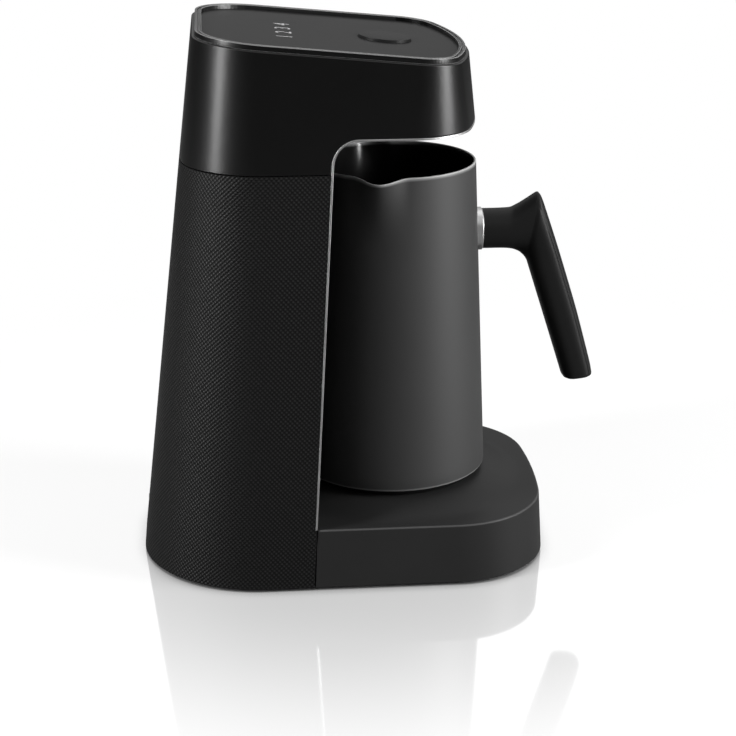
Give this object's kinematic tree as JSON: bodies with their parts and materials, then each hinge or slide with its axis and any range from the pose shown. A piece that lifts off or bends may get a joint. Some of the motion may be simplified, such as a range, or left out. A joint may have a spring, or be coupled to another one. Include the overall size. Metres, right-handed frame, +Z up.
{
  "type": "electric turkish coffee maker",
  "caption": "Counter-top electric coffee pot machine: a textured column with an overhanging head, a low platform and a lift-off two-spouted pot with a handle.",
  "frame": {"origin": "middle of the whole object's box, on the surface it stands on", "axes": "+Z up, +X towards the pot's handle, +Y completes the right-handed frame"},
  "size_m": [0.2159, 0.1364, 0.2499],
  "materials": {
    "textured_black": "moulded diamond texture",
    "satin_black": "satin",
    "housing_grey": "satin",
    "bright_trim": "brushed",
    "panel_grey": "fine satin",
    "pot_coat": "matt coating over steel",
    "steel": "brushed",
    "handle_black": "soft satin",
    "rubber_black": "matt",
    "board_green": "solder mask",
    "part_grey": "moulded",
    "contact_brass": "plain",
    "clear_plastic": "clear",
    "heater_aluminium": "die cast"
  },
  "bodies": {
    "machine": {"column_cover": "textured_black", "head_cover": "satin_black", "cutout_trim": "bright_trim", "niche_liner": "satin_black", "head_underside": "satin_black", "top_rim": "satin_black", "control_panel": "panel_grey", "control_board": "board_green", "button_switch": "part_grey", "light_ring": "clear_plastic", "indicator_lamps": "clear_plastic", "control_screws": "steel", "sensor_housing": "handle_black", "sensor_lens": "clear_plastic", "sensor_board": "board_green", "base_housing": "housing_grey", "base_plate": "handle_black", "rubber_feet": "rubber_black", "base_screws": "steel", "cord_gland": "rubber_black", "inner_frame": "part_grey", "frame_screws": "steel", "power_board": "board_green", "transformer": "part_grey", "relay": "handle_black", "capacitor": "handle_black", "terminal_block": "part_grey", "board_screws": "steel", "supply_leads": "rubber_black", "heater_leads": "rubber_black", "control_leads": "rubber_black", "base_connector": "handle_black", "connector_seal": "rubber_black", "connector_contacts": "contact_brass"},
    "pot": {"pot_body": "pot_coat", "heater_plate": "heater_aluminium", "heating_element": "steel", "thermostat": "part_grey", "pot_bottom_cover": "handle_black", "pot_connector": "handle_black", "pot_contacts": "contact_brass", "pot_screws": "steel", "handle_cover": "handle_black", "handle_body": "handle_black", "handle_bracket": "steel", "handle_collar": "steel", "handle_screw": "steel"},
    "button": {"button_cap": "panel_grey", "button_stem": "handle_black"}
  },
  "joints": [
    {"name": "pot_lift", "type": "slide", "parent": "machine", "child": "pot", "axis": [0, 0, 1], "range_m": [0, 0.018]},
    {"name": "button_press", "type": "slide", "parent": "machine", "child": "button", "axis": [-0.0924, 0, -0.9957], "range_m": [0, 0.0012], "stiffness_N_per_m": 400, "springref_m": -0.0012}
  ]
}
